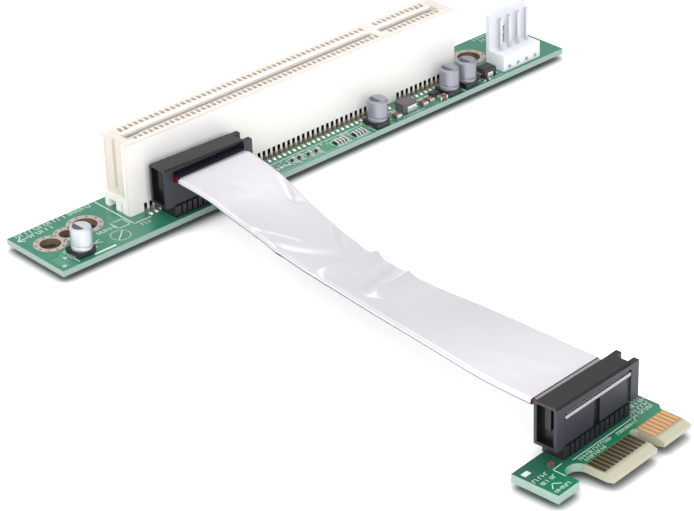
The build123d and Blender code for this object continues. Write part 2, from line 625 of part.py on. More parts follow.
def build():
    """Every sub-part by its node name."""
    chips = [chip(CAP_CHIP, spot, CHIP_T) for spot in CAP_SPOTS]
    resistors = [chip(RES_CHIP, spot, 0.5) for spot in RES_SPOTS]
    arrays = [resistor_array(spot) for spot in ARRAY_SPOTS]
    ic_body, ic_legs = three_leg_ic()
    diode_body, diode_tabs = diode()
    choke_body, choke_tabs = choke()
    can_places = [BY_LEFT_HOLE * Pos(*LONE_CAN)] + [BY_RIGHT_HOLE * Pos(x, y) for x, y in CAN_SPOTS]
    parts = {
        "riser_board": riser_board(),
        "hole_rings": hole_rings(),
        "slot_housing": ON_BOARD * slot_housing(),
        "slot_contacts_front": group(slot_contacts(-1), ON_BOARD),
        "slot_contacts_rear": group(slot_contacts(1), ON_BOARD),
        "power_housing": ON_BOARD * power_housing(),
        "power_pins": group(power_pins(), ON_BOARD),
        "capacitor_cans": group([place * capacitor_can() for place in can_places]),
        "capacitor_bases": group([place * capacitor_base() for place in can_places]),
        "capacitor_leads": group([place * lead for place in can_places for lead in capacitor_leads()]),
        "diode_body": diode_body,
        "diode_tabs": group(diode_tabs),
        "choke_body": choke_body,
        "choke_tabs": group(choke_tabs),
        "small_ic": ic_body,
        "small_ic_legs": group(ic_legs),
        "chip_capacitors": group([body for body, caps in chips]),
        "chip_capacitor_ends": group([cap for body, caps in chips for cap in caps]),
        "chip_resistors": group([body for body, caps in resistors]),
        "chip_resistor_ends": group([cap for body, caps in resistors for cap in caps]),
        "resistor_arrays": group([body for body, caps in arrays]),
        "resistor_array_ends": group([cap for body, caps in arrays for cap in caps]),
        "riser_header": AT_RISER_SOCKET * header_base(),
        "riser_header_pins": group(header_pins(BOARD_T), AT_RISER_SOCKET),
        "riser_socket": AT_RISER_SOCKET * socket_body(),
        "riser_socket_cover": AT_RISER_SOCKET * socket_cover(),
        "riser_socket_blades": group(socket_blades(), AT_RISER_SOCKET),
        "edge_card": card_board(),
        "edge_fingers_top": edge_fingers(CARD_T),
        "edge_fingers_bottom": edge_fingers(-FINGER_T),
        "card_header": AT_CARD_SOCKET * header_base(),
        "card_header_pins": group(header_pins(CARD_T), AT_CARD_SOCKET),
        "card_socket": AT_CARD_SOCKET * mirror(socket_body(), Plane.YZ),
        "card_socket_cover": AT_CARD_SOCKET * mirror(socket_cover(), Plane.YZ),
        "card_socket_blades": group(socket_blades(), AT_CARD_SOCKET),
        "cable_wires": cable_wires(),
        "cable_marker": cable_marker(),
        "foil_wrap": foil_wrap(),
    }
    return parts


for name, shape in build().items():
    export_step(shape, "parts/" + name + ".step")
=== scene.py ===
"""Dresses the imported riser: materials, foil-wrapped cable, board print, solder, floor, light and camera.

Pieces are drawn in millimetres in the part's own frame and stored in metres.
"""
from bisect import bisect_right
import json
import math
import random
import bpy
from mathutils import Matrix, Vector, noise


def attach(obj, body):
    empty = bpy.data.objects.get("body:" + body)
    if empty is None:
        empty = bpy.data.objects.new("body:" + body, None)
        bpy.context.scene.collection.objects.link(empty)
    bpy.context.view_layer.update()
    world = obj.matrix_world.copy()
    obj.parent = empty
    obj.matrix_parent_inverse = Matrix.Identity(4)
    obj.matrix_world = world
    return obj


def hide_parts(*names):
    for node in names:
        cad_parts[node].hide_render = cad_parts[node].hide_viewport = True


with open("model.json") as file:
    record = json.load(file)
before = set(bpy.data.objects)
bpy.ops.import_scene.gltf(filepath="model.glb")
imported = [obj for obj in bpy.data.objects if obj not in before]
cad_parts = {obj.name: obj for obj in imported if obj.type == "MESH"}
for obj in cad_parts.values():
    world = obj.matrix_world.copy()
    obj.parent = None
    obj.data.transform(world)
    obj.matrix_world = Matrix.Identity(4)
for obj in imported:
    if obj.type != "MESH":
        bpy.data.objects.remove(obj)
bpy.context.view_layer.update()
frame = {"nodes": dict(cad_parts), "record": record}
nodes = frame["nodes"]
MM = 0.001
X, Y, Z = (1, 0, 0), (0, 1, 0), (0, 0, 1)

# Camera
CAMERA_AT = (-289.8, -344.3, 228.7)
CAMERA_TURN = (-41.46, 60.46, -2.14)    # degrees about Z, X and the view axis
LENS = 133.0
SENSOR = 36.0

# Heights
FLOOR_Z = -1.1
BOARD_TOP = 1.2
CARD_TOP = 1.57
PRINT_T = 0.02
TRACE_T = 0.008

# Places on the long board that repeat the model's own sizes
PITCH = 1.27
POSITIONS = 62
KEY_POSITIONS = (50, 51)
CONTACT_XS = [(i - (POSITIONS + 1) / 2) * PITCH for i in range(1, POSITIONS + 1) if i not in KEY_POSITIONS]
RINGS = ((-50.1, 0.0, 2.4), (50.1, 0.0, 2.4), (-54.6, -0.5, 1.5), (-59.0, -1.3, 2.0))    # x, y and radius
CANS = ((-56.6, -7.9), (16.2, -8.7), (36.0, -8.7), (41.0, -8.6))
CAN_TOP = BOARD_TOP + 5.4
DIODE = (46.4, -8.7)
CHOKE = (24.2, -8.3)
ARRAY_XS = (5.6, 10.6)
ARRAY_Y = -9.3
ARRAY_PITCH = 0.8
CHIPS = ((-6.4, -9.0), (-4.6, -9.0), (-2.4, -9.2), (-0.4, -9.2))
POWER_X = 55.45         # middle of the row of power pins
POWER_PITCH = 2.5
RISER_SOCKET = (-28.1, -8.1)

# The small card: u runs along its edge and v inward from the tips of its tabs
CARD_AT = (-30.5, -124.0)
CARD_YAW = math.radians(5.1)
CARD_SOCKET = (-5.0, 11.0)
INWARD = (-math.sin(CARD_YAW), math.cos(CARD_YAW), 0)
OUTWARD = (math.sin(CARD_YAW), -math.cos(CARD_YAW), 0)
RIGHTWARD = (math.cos(CARD_YAW), math.sin(CARD_YAW), 0)
CARD_V = INWARD[0] * CARD_AT[0] + INWARD[1] * CARD_AT[1]
CARD_U = RIGHTWARD[0] * CARD_AT[0] + RIGHTWARD[1] * CARD_AT[1]
BLOCK_END = -13.5       # u between the plain block and the tabs
BARE_DEPTH = 5.75       # v where the green mask of the tabs starts

# Sockets
SOCKET_HALF_L = 10.55
RECESS_DEPTH = 1.32
RECESS_HALF_W = 1.71
KEYWAY_HALF_W = 0.78

# Cable
WIRE_COUNT = 26
WIRE_PITCH = 0.635
WIRE_T = 0.9
CABLE_W = WIRE_COUNT * WIRE_PITCH
ROUTE = ((-28.1, -5.8, 9.2), (-28.1, -17.5, 9.2), (-28.9, -30.0, 6.3), (-31.2, -46.0, 5.3),
         (-34.3, -66.0, 7.0), (-36.7, -86.0, 9.4), (-37.365, -103.33, 9.57), (-36.254, -115.78, 9.57))
CABLE_STEPS = 180
TWIST = math.radians(-13)
TWIST_IN = (3, 36)      # from the start of the route: where the roll begins and is full
TWIST_OUT = (50, 8)     # from the start, where it begins to go back, and from the end, where it is gone
FOIL_FROM = 6.0         # from the start of the route to the foil
FOIL_TO = 6.7           # from the foil to the end of the route
FOIL_HALF_W = 8.55
FOIL_HALF_T = 0.60
FOIL_STEPS = 320
FOIL_ACROSS = 64

# Creases in the foil: distance s and side t (-1 left, 1 right) where each starts and where it ends,
# then its bow, half width and height
CREASES = (
    (50.3, -1.0, 44.8, 1.0, 1.5, 1.2, 1.20),
    (52.6, -0.9, 47.4, 0.9, 1.5, 1.0, -0.18),
    (36.5, -1.0, 40.6, 1.0, 7.5, 1.9, -0.55),
    (62.1, -0.55, 54.6, 1.0, 1.2, 1.1, 0.75),
    (58.6, -0.45, 51.2, 0.9, 1.0, 1.0, -0.42),
    (28.0, -1.0, 29.5, -0.82, 0.0, 0.8, 0.22),
    (29.5, -0.95, 36.0, -0.3, 0.0, 1.0, -0.20),
    (15.0, 0.98, 22.5, 0.60, 0.0, 1.2, 0.14),
    (22.5, 0.58, 23.5, 1.0, 0.0, 0.9, -0.28),
    (30.0, 1.0, 37.5, 0.45, 0.0, 1.2, 0.18),
    (33.0, 1.0, 39.5, 0.5, 0.0, 1.3, -0.16),
    (62.0, -0.80, 64.5, -0.50, 0.0, 0.6, -0.10),
)

# Plain print on the long board: width of each line and its points
RISER_LINES = (
    (0.22, ((-43.4, 5.6), (-43.4, -6.4), (-39.6, -6.4))),
    (0.16, ((-16.6, -6.9), (44.0, -6.9))),
    (0.16, ((-45.9, -3.2), (-43.9, -3.2), (-43.9, -5.8), (-46.6, -5.8), (-46.6, -3.2))),
    (0.50, ((-55.4, -10.3), (-51.0, -10.3))),
    (0.16, ((-54.4, -7.6), (-51.8, -6.4))),
    (0.16, ((-54.4, -6.4), (-51.8, -7.6))),
    (0.20, ((-61.6, 4.4), (-62.8, 3.6), (-61.6, 2.8))),
    (0.20, ((-62.8, 3.6), (-60.6, 3.6))),
    (0.20, ((-49.2, -9.2), (-46.6, -6.8))),
)
RISER_CIRCLE = (-47.9, -8.0, 1.9)       # x, y and radius

# Rows of small strokes in place of words: from x, to x, y and height
RISER_ROWS = (
    (-62.0, -45.0, 5.3, 1.1), (-60.2, -54.8, 3.7, 1.0), (-50.6, -46.6, -4.6, 0.9), (-42.6, -40.4, -7.6, 0.8),
    (45.8, 49.6, 5.4, 0.9), (45.6, 49.0, 3.9, 0.9), (56.6, 65.4, 5.2, 0.9), (57.4, 65.6, 3.7, 0.9),
    (-15.0, -7.4, -9.3, 0.7), (7.4, 9.2, -7.4, 0.7), (19.4, 21.4, -6.6, 0.7),
)

# The same two lists for the small card, in u and v
CARD_LINES = (
    (0.16, ((-12.4, 7.9), (2.6, 7.9))),
    (0.16, ((-16.6, 6.1), (-16.6, 8.6), (-14.4, 8.6))),
    (0.18, ((-20.6, 5.4), (-19.6, 6.4), (-18.6, 5.4))),
)
CARD_ROWS = (
    (-11.6, -3.6, 7.2, 0.6), (-11.2, -6.0, 6.3, 0.55), (-2.2, 2.8, 7.0, 0.6), (3.2, 8.6, 7.9, 0.7),
    (3.6, 8.7, 8.9, 0.7), (3.8, 8.8, 10.0, 0.7), (4.4, 8.6, 11.2, 0.7), (-21.0, -17.2, 4.5, 0.6),
    (-20.8, -17.6, 7.4, 0.7), (-21.2, -17.8, 8.8, 0.7),
)
ROW_STROKE = 0.15
CARD_ROW_STROKE = 0.12
CIRCLE_STROKE = 0.22
CAN_FRAME_STROKE = 0.14
FRAME_STROKE = 0.12

# Solder, copper and holes beside the contacts and rings
SOLDER_Y = 5.46
FOOT_PAD_Y = 5.1
FILLET_Y = 4.35
TAIL_TRACE_W = 0.16
LONG_TRACE_W = 0.22
FAN_TRACE_W = 0.13
VIAS_PER_RING = 10
VIA_R = 0.24
VIA_OUT = 0.68          # from the radius of a ring to the middle of its vias
PAD_OUT = 2.1           # from the middle of a part to the middle of each of its two pads

# Limits of the upward share of a face's normal
DOWN_LIMIT = 0.15       # under it a face looks downward or sideways
SIDE_LIMIT = 0.7        # under it, either way up, a face counts as a side

rng = random.Random(7)


# Shader helpers
def linear(r, g, b):
    """Scene colour of a display colour given in 0 to 255."""
    out = []
    for v in (r, g, b):
        v = v / 255
        out.append(v / 12.92 if v <= 0.04045 else ((v + 0.055) / 1.055) ** 2.4)
    return (*out, 1.0)


def add(tree, kind, **settings):
    """A shader node with its own settings."""
    made = tree.nodes.new("ShaderNode" + kind)
    for name, value in settings.items():
        setattr(made, name, value)
    return made


def feed(tree, value, target):
    """Joins a socket to an input, or sets the input to a plain value."""
    if isinstance(value, bpy.types.NodeSocket):
        tree.links.new(value, target)
    else:
        target.default_value = value


def calculate(tree, operation, *values):
    """Result of a math node on sockets or numbers."""
    made = add(tree, "Math", operation=operation)
    for value, target in zip(values, made.inputs):
        feed(tree, value, target)
    return made.outputs["Value"]


def mix_colours(tree, factor, a, b):
    """Colour a where the factor is 0 and b where it is 1."""
    made = add(tree, "Mix", data_type="RGBA")
    for name, value in (("Factor", factor), ("A", a), ("B", b)):
        feed(tree, value, made.inputs[name])
    return made.outputs["Result"]


def ramp(tree, value, interpolation="LINEAR", **ends):
    """A value mapped from one range to another, ends named as in From_Min."""
    made = add(tree, "MapRange", interpolation_type=interpolation)
    for name, end in ends.items():
        made.inputs[name.replace("_", " ")].default_value = end
    feed(tree, value, made.inputs["Value"])
    return made.outputs["Result"]


def object_point(tree):
    return add(tree, "TexCoord").outputs["Object"]


def noise_value(tree, scale, detail=2):
    made = add(tree, "TexNoise")
    made.inputs["Scale"].default_value = scale
    made.inputs["Detail"].default_value = detail
    feed(tree, object_point(tree), made.inputs["Vector"])
    return made.outputs["Fac"]


def normal_z(tree):
    """Upward share of the face's own normal."""
    split = add(tree, "SeparateXYZ")
    feed(tree, add(tree, "NewGeometry").outputs["True Normal"], split.inputs["Vector"])
    return split.outputs["Z"]


def open_share(tree, distance, power):
    """Share of open sky over a point of the floor, raised to a power."""
    made = add(tree, "AmbientOcclusion", samples=12)
    made.inputs["Distance"].default_value = distance * MM
    return calculate(tree, "POWER", made.outputs["AO"], power)


# Masks: each returns a function of the shader tree that gives 1 where it holds
def dot_with(tree, direction):
    """Distance of a point along a direction, in millimetres."""
    dot = add(tree, "VectorMath", operation="DOT_PRODUCT")
    dot.inputs[1].default_value = [d / MM for d in direction]
    feed(tree, object_point(tree), dot.inputs[0])
    return dot.outputs["Value"]


def slab(direction, low=None, high=None, centre=0.0, mirrored=False):
    """Holds where the distance from the centre, either way if mirrored, lies between low and high."""
    def mask(tree):
        value = calculate(tree, "SUBTRACT", dot_with(tree, direction), centre)
        if mirrored:
            value = calculate(tree, "ABSOLUTE", value)
        tests = []
        if low is not None:
            tests.append(calculate(tree, "GREATER_THAN", value, low))
        if high is not None:
            tests.append(calculate(tree, "LESS_THAN", value, high))
        return tests[0] if len(tests) == 1 else calculate(tree, "MULTIPLY", *tests)
    return mask


def fade(direction, none, full):
    """Grows smoothly from 0 at one distance along a direction to 1 at another."""
    def mask(tree):
        return ramp(tree, dot_with(tree, direction), "SMOOTHSTEP", From_Min=none, From_Max=full)
    return mask


def looks_down(tree):
    """Holds on faces that look downward or sideways."""
    return calculate(tree, "LESS_THAN", normal_z(tree), DOWN_LIMIT)


def flat_faces(tree):
    """Holds on faces that look up or down."""
    return calculate(tree, "GREATER_THAN", calculate(tree, "ABSOLUTE", normal_z(tree)), SIDE_LIMIT)


def stains(tree):
    """Weak wide spots, as old foil has."""
    return ramp(tree, noise_value(tree, scale=38), "SMOOTHSTEP", From_Min=0.56, From_Max=0.74, To_Max=0.45)


def on_card_u(low=None, high=None, centre=0.0, mirrored=False):
    return slab(RIGHTWARD, low, high, CARD_U + centre, mirrored)


def on_card_v(low=None, high=None, centre=0.0, mirrored=False):
    return slab(INWARD, low, high, CARD_V + centre, mirrored)


def recolour(name, color, *masks):
    """Another colour on a material where all the masks hold."""
    tree = M[name].node_tree
    target = tree.nodes["Principled BSDF"].inputs["Base Color"]
    factor = masks[0](tree)
    for mask in masks[1:]:
        factor = calculate(tree, "MULTIPLY", factor, mask(tree))
    feed(tree, mix_colours(tree, factor, target.links[0].from_socket, color), target)


# Materials
M = {}
# Deep black of painted shade, in recesses and where wires run into a socket.
SHADE_BLACK = linear(14, 14, 17)
IOR = 1.5
COAT_ROUGHNESS = 0.12
GLOSS_SPREAD = 0.06
BUMP_MM = 0.1
FLOOR_GLOW = 0.60       # light that the floor adds where the sky over it is open


def make_material(name, color, rough, metal=0.0, vary=0.06, grain=900, bump=0.02, bump_grain=None, edge=0.0,
                  side_color=None, coat=0.0, subsurface=0.0):
    """Principled material with procedural variation of colour, gloss and surface, kept in M."""
    mat = bpy.data.materials.new(name)
    mat.use_nodes = True
    tree = mat.node_tree
    shader = tree.nodes["Principled BSDF"]
    speckle = noise_value(tree, grain, 4)
    dark = [c * (1 - vary) for c in color[:3]] + [1]
    light = [min(1, c * (1 + vary)) for c in color[:3]] + [1]
    base = mix_colours(tree, speckle, dark, light)
    if side_color:
        is_side = calculate(tree, "LESS_THAN", calculate(tree, "ABSOLUTE", normal_z(tree)), SIDE_LIMIT)
        base = mix_colours(tree, is_side, base, side_color)
    gloss = ramp(tree, speckle, To_Min=max(0.02, rough - GLOSS_SPREAD), To_Max=min(1.0, rough + GLOSS_SPREAD))
    bumps = add(tree, "Bump")
    bumps.inputs["Strength"].default_value = min(1.0, bump * 5)
    bumps.inputs["Distance"].default_value = BUMP_MM * MM
    feed(tree, noise_value(tree, bump_grain or grain, 3), bumps.inputs["Height"])
    if edge:
        soft = add(tree, "Bevel", samples=4)
        soft.inputs["Radius"].default_value = edge * MM
        feed(tree, soft.outputs["Normal"], bumps.inputs["Normal"])
    values = {"Base Color": base, "Roughness": gloss, "Metallic": metal, "IOR": IOR, "Coat Weight": coat,
              "Coat Roughness": COAT_ROUGHNESS, "Normal": bumps.outputs["Normal"]}
    if subsurface:
        values["Subsurface Weight"] = subsurface
        values["Subsurface Radius"] = (0.0012, 0.0010, 0.0008)
        values["Subsurface Scale"] = 1.0
    for target, value in values.items():
        feed(tree, value, shader.inputs[target])
    M[name] = mat
    return mat


def board_materials():
    """The two boards, their print, copper and plating."""
    make_material("riser_mask", linear(45, 126, 98), 0.30, vary=0.12, grain=500, bump=0.03,
                  side_color=linear(142, 168, 162), coat=0.5)
    make_material("card_mask", linear(36, 98, 80), 0.32, vary=0.14, grain=600, bump=0.03,
                  side_color=linear(148, 176, 162), coat=0.5)
    make_material("ring_plating", linear(188, 176, 170), 0.42, metal=0.35, vary=0.10, grain=700,
                  side_color=linear(128, 104, 84))
    # Dark brown on the fingers is a painted reflection and shade, kept on the first tab.
    make_material("finger_gold", linear(72, 58, 44), 0.38, metal=0.4, vary=0.16, grain=900, edge=0.05)
    make_material("board_print", linear(208, 224, 216), 0.6, vary=0.05, grain=2500)
    make_material("trace_green", linear(104, 172, 140), 0.34, vary=0.08, grain=900, coat=0.4)
    make_material("via_brown", linear(120, 84, 70), 0.5, vary=0.15, grain=1400)

    before_bare = on_card_v(high=BARE_DEPTH)
    on_tabs = on_card_u(low=BLOCK_END)
    towards_tip = fade(OUTWARD, -(CARD_V + 10.0), -(CARD_V + 6.5))
    into_field = fade(INWARD, CARD_V + 1.2, CARD_V + 2.9)
    field = (before_bare, on_tabs, into_field, flat_faces)
    second_tab = on_card_u(low=0.0)
    recolour("card_mask", linear(24, 124, 86), towards_tip, flat_faces)
    recolour("card_mask", linear(186, 184, 160), before_bare, on_tabs)
    recolour("card_mask", linear(122, 116, 84), *field)
    recolour("card_mask", linear(150, 116, 72), *field, second_tab)
    # The second tab's fingers get their plain gold, without the painted reflection and shade.
    recolour("finger_gold", linear(222, 172, 122), second_tab)


def slot_materials():
    """The card slot's plastic and its contacts, with painted shade inside it and on its top and ends, and
    painted light on the contacts' tips.
    """
    make_material("slot_plastic", linear(252, 250, 247), 0.42, vary=0.015, grain=300, bump=0.01, edge=0.12,
                  subsurface=0.03)
    make_material("contact_tin", linear(150, 138, 118), 0.36, metal=0.3, vary=0.18, grain=900)

    def middle(half_length):
        return slab(X, high=half_length, mirrored=True)

    comb = (slab(Y, high=3.96, mirrored=True), slab(Z, high=2.93), middle(39.8))
    top = slab(Z, low=15.7)
    ends = slab(X, low=42.08, mirrored=True)
    corners = slab(Y, low=3.4, mirrored=True)
    windows = (slab(Y, 1.55, 2.96, mirrored=True), slab(Z, 6.0, 15.95), middle(39.9))
    channel = (slab(Y, high=1.0, mirrored=True), slab(Z, 5.0, 15.0), middle(40.1))
    end_panels = (slab(X, 39.9, 42.3, mirrored=True), slab(Y, high=2.71, mirrored=True), slab(Z, low=4.0))
    # Painted shade: the notches of the comb and the chamber behind them are black.
    recolour("slot_plastic", linear(16, 14, 12), *comb)
    # Painted shade: the top, the ends and their corners are toned down from the front's white, as the light
    # falls on them.
    recolour("slot_plastic", linear(232, 226, 219), top)
    recolour("slot_plastic", linear(228, 221, 213), ends, corners)
    # Painted shade, warmed by a painted reflection of the contacts, on the walls of the windows and of the
    # channel.
    recolour("slot_plastic", linear(222, 212, 200), *windows)
    recolour("slot_plastic", linear(220, 210, 196), *channel)
    # Painted shade in the recessed panels of the ends.
    recolour("slot_plastic", linear(226, 218, 208), *end_panels)
    # Painted shade on the contacts inside the slot, and painted light on their tips, which show in the
    # windows.
    recolour("contact_tin", linear(52, 42, 32), slab(Y, high=4.02, mirrored=True))
    recolour("contact_tin", linear(200, 188, 172), slab(Z, low=10.0))


def small_part_materials():
    """Power header, capacitors, chips, solder and marks."""
    make_material("power_plastic", linear(232, 235, 240), 0.36, vary=0.015, grain=300, bump=0.01, edge=0.12,
                  subsurface=0.15)
    make_material("pin_tin", linear(206, 206, 214), 0.30, metal=0.55, vary=0.06, grain=1500)
    make_material("can_metal", linear(152, 154, 164), 0.42, metal=0.45, vary=0.05, grain=1200, bump=0.01,
                  edge=0.12)
    make_material("can_base", linear(28, 28, 31), 0.42, vary=0.1, grain=900, edge=0.1)
    make_material("end_tin", linear(214, 213, 212), 0.30, metal=0.9, vary=0.08, grain=1500, edge=0.06)
    make_material("moulded_black", linear(42, 42, 46), 0.48, vary=0.12, grain=1200, edge=0.08)
    make_material("choke_grey", linear(92, 88, 94), 0.5, vary=0.12, grain=1200, edge=0.1)
    make_material("capacitor_brown", linear(116, 84, 72), 0.42, vary=0.12, grain=1200, edge=0.06)
    make_material("solder", linear(224, 226, 224), 0.26, metal=0.6, vary=0.10, grain=1400, bump=0.05)
    make_material("foot_solder", linear(122, 112, 94), 0.38, metal=0.25, vary=0.2, grain=1200)
    make_material("can_print", linear(78, 78, 86), 0.5, vary=0.05, grain=900)
    recolour("can_metal", linear(204, 209, 216), slab(X, high=-50.0))


def socket_materials():
    """The cable sockets and pin headers: a painted bluish reflection on the sockets' sides, near black on the
    headers below them, and painted shade, deep black, in the recesses and keyway.
    """
    # The sides' bluish grey is a painted reflection.
    make_material("connector_black", linear(22, 22, 24), 0.44, vary=0.08, grain=900, bump=0.02, edge=0.12,
                  side_color=linear(43, 44, 56))
    make_material("blade_metal", linear(205, 180, 120), 0.3, metal=1.0, vary=0.05, grain=900)

    past_recess = SOCKET_HALF_L - RECESS_DEPTH
    riser_recess = (slab(X, low=past_recess, centre=RISER_SOCKET[0], mirrored=True),
                    slab(Y, high=RECESS_HALF_W, centre=RISER_SOCKET[1], mirrored=True), slab(Z, high=11.2))
    card_recess = (on_card_u(low=past_recess, centre=CARD_SOCKET[0], mirrored=True),
                   on_card_v(high=RECESS_HALF_W, centre=CARD_SOCKET[1], mirrored=True), slab(Z, high=11.6))
    keyway = (on_card_u(high=KEYWAY_HALF_W, centre=CARD_SOCKET[0], mirrored=True), on_card_v(9.03, 9.6),
              slab(Z, high=8.8))
    headers = slab(Z, high=3.95)
    # Painted shade: deep black in the recesses and the keyway.
    for place in (riser_recess, card_recess, keyway):
        recolour("connector_black", SHADE_BLACK, *place)
    # Near black on the headers below the sockets, without the painted reflection.
    recolour("connector_black", linear(27, 27, 33), headers)


def cable_materials():
    """Wires, with painted shade where they run behind the sockets' faces, and the foil, with painted shade
    underneath.
    """
    make_material("cable_grey", linear(150, 150, 156), 0.4, vary=0.05, grain=700)
    make_material("cable_red", linear(96, 14, 30), 0.4, vary=0.05, grain=700)
    make_material("foil_silver", linear(229, 226, 232), 0.36, metal=0.42, vary=0.015, grain=60, bump=0.02,
                  bump_grain=140)
    make_material("cable_cut", linear(190, 192, 202), 0.4, metal=0.2, vary=0.12, grain=1600)
    # Painted shade on the wires under the first socket's cover.
    recolour("cable_grey", linear(38, 38, 50), slab(Y, low=-11.15))
    recolour("foil_silver", linear(236, 228, 214), stains)
    # Painted shade on the foil's underside and edges.
    recolour("foil_silver", linear(44, 43, 50), looks_down)
    # Painted shade on the wires inside the second socket.
    for wire in ("cable_grey", "cable_red"):
        recolour(wire, SHADE_BLACK, on_card_v(high=8.85))


def floor_material():
    """Pale floor that glows white to the camera and in reflections; near the object its glow fades and its
    colour darkens, a painted contact shadow.
    """
    mat = make_material("floor", linear(250, 250, 250), 0.24, vary=0.003, grain=3, bump=0.0)
    tree = mat.node_tree
    shader = tree.nodes["Principled BSDF"]
    rays = add(tree, "LightPath")
    seen = calculate(tree, "MAXIMUM", rays.outputs["Is Camera Ray"], rays.outputs["Is Glossy Ray"])
    # The glow fades where the sky over the floor is closed, which paints shadow.
    lift = calculate(tree, "MULTIPLY", open_share(tree, distance=4.8, power=3.0), FLOOR_GLOW)
    glow = calculate(tree, "MULTIPLY", lift, seen)
    ground_color = shader.inputs["Base Color"].links[0].from_socket
    # Painted shadow: the floor's colour darkens where little sky is open over it.
    ground = mix_colours(tree, open_share(tree, distance=2.4, power=2.0), linear(112, 118, 119), ground_color)
    feed(tree, ground, shader.inputs["Base Color"])
    feed(tree, (1, 1, 1, 1), shader.inputs["Emission Color"])
    feed(tree, glow, shader.inputs["Emission Strength"])
    return mat


board_materials()
slot_materials()
small_part_materials()
socket_materials()
cable_materials()
material_slots = {entry["node"]: entry["material_slot"] for entry in frame["record"]["subparts"]}
for node_name, node in nodes.items():
    node.data.materials.clear()
    node.data.materials.append(M[material_slots[node_name]])


# Pieces
def piece(name, verts, faces, mat, smooth=False, stands_for=()):
    """A mesh piece from points in millimetres, riding on the part."""
    mesh = bpy.data.meshes.new(name)
    mesh.from_pydata([(x * MM, y * MM, z * MM) for x, y, z in verts], [], faces)
    mesh.validate()
    mesh.update()
    for poly in mesh.polygons:
        poly.use_smooth = smooth
    obj = bpy.data.objects.new(name, mesh)
    bpy.context.scene.collection.objects.link(obj)
    obj.data.materials.append(mat)
    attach(obj, "root")
    if stands_for:
        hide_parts(*stands_for)
    return obj


def ring_points(x, y, rx, ry, count, start=0.0, stop=2 * math.pi):
    """Points round an ellipse from one angle up to, but not at, another."""
    angles = [start + (stop - start) * i / count for i in range(count)]
    return [(x + rx * math.cos(a), y + ry * math.sin(a)) for a in angles]


class Shapes:
    """Collects simple solids into one mesh. They lie between low and high unless a call says otherwise."""

    def __init__(self, low, high, place=None):
        self.verts, self.faces = [], []
        self.low, self.high = low, high
        self.place = place or (lambda x, y, z: (x, y, z))

    def add(self, verts, faces):
        first = len(self.verts)
        self.verts += [self.place(*v) for v in verts]
        self.faces += [tuple(first + i for i in f) for f in faces]

    def prism(self, outline, low=None, high=None):
        """Upright prism on a counter-clockwise outline."""
        low = self.low if low is None else low
        high = self.high if high is None else high
        n = len(outline)
        verts = [(x, y, low) for x, y in outline] + [(x, y, high) for x, y in outline]
        faces = [tuple(range(n - 1, -1, -1)), tuple(range(n, 2 * n))]
        faces += [(i, (i + 1) % n, n + (i + 1) % n, n + i) for i in range(n)]
        self.add(verts, faces)

    def block(self, x, y, half_x, half_y, low=None, high=None):
        """Box round a middle point."""
        x0, x1, y0, y1 = x - half_x, x + half_x, y - half_y, y + half_y
        self.prism([(x0, y0), (x1, y0), (x1, y1), (x0, y1)], low, high)

    def disc(self, x, y, r, low=None, high=None, n=20):
        self.prism(ring_points(x, y, r, r, n), low, high)

    def stroke(self, points, width):
        """Flat line of one width along points."""
        for (x0, y0), (x1, y1) in zip(points, points[1:]):
            size = math.hypot(x1 - x0, y1 - y0)
            dx, dy = (x1 - x0) / size * width / 2, (y1 - y0) / size * width / 2
            self.prism([(x0 - dx + dy, y0 - dy - dx), (x1 + dx + dy, y1 + dy - dx),
                        (x1 + dx - dy, y1 + dy + dx), (x0 - dx - dy, y0 - dy + dx)])

    def blob(self, x, y, z, rx, ry, rz, n=8, rings=3):
        """Half a squashed ball standing on z."""
        verts, faces = [], []
        for j in range(rings):
            lift = math.pi / 2 * j / rings
            shrink, height = math.cos(lift), z + rz * math.sin(lift)
            verts += [(px, py, height) for px, py in ring_points(x, y, rx * shrink, ry * shrink, n)]
        verts.append((x, y, z + rz))
        for j in range(rings - 1):
            for i in range(n):
                a, b = j * n + i, j * n + (i + 1) % n
                faces.append((a, b, b + n, a + n))
        top = len(verts) - 1
        faces += [((rings - 1) * n + i, (rings - 1) * n + (i + 1) % n, top) for i in range(n)]
        faces.append(tuple(range(n - 1, -1, -1)))
        self.add(verts, faces)

    def row(self, x0, x1, y0, height, width):
        """Plain strokes of mixed length and direction, where a board carries small print."""
        low, high = y0 - height / 2, y0 + height / 2
        x = x0
        while x < x1:
            w = height * (0.45 + 0.35 * rng.random())
            kind = rng.randrange(4)
            self.stroke([(x, low), (x, high)], width)
            if kind == 0:
                self.stroke([(x, high), (x + w, high)], width)
            elif kind == 1:
                self.stroke([(x, low), (x + w, low)], width)
                self.stroke([(x + w, low), (x + w, high)], width)
            elif kind == 2:
                self.stroke([(x, y0), (x + w, y0)], width)
            x += w + height * 0.42

    def make(self, name, mat, smooth=False):
        return piece(name, self.verts, self.faces, M[mat], smooth)


def on_card(x, y, z):
    """From the small card's own u, v to the part's frame."""
    c, s = math.cos(CARD_YAW), math.sin(CARD_YAW)
    return CARD_AT[0] + x * c - y * s, CARD_AT[1] + x * s + y * c, z


def smoothstep(a, b, x):
    x = min(1.0, max(0.0, (x - a) / (b - a)))
    return x * x * (3 - 2 * x)


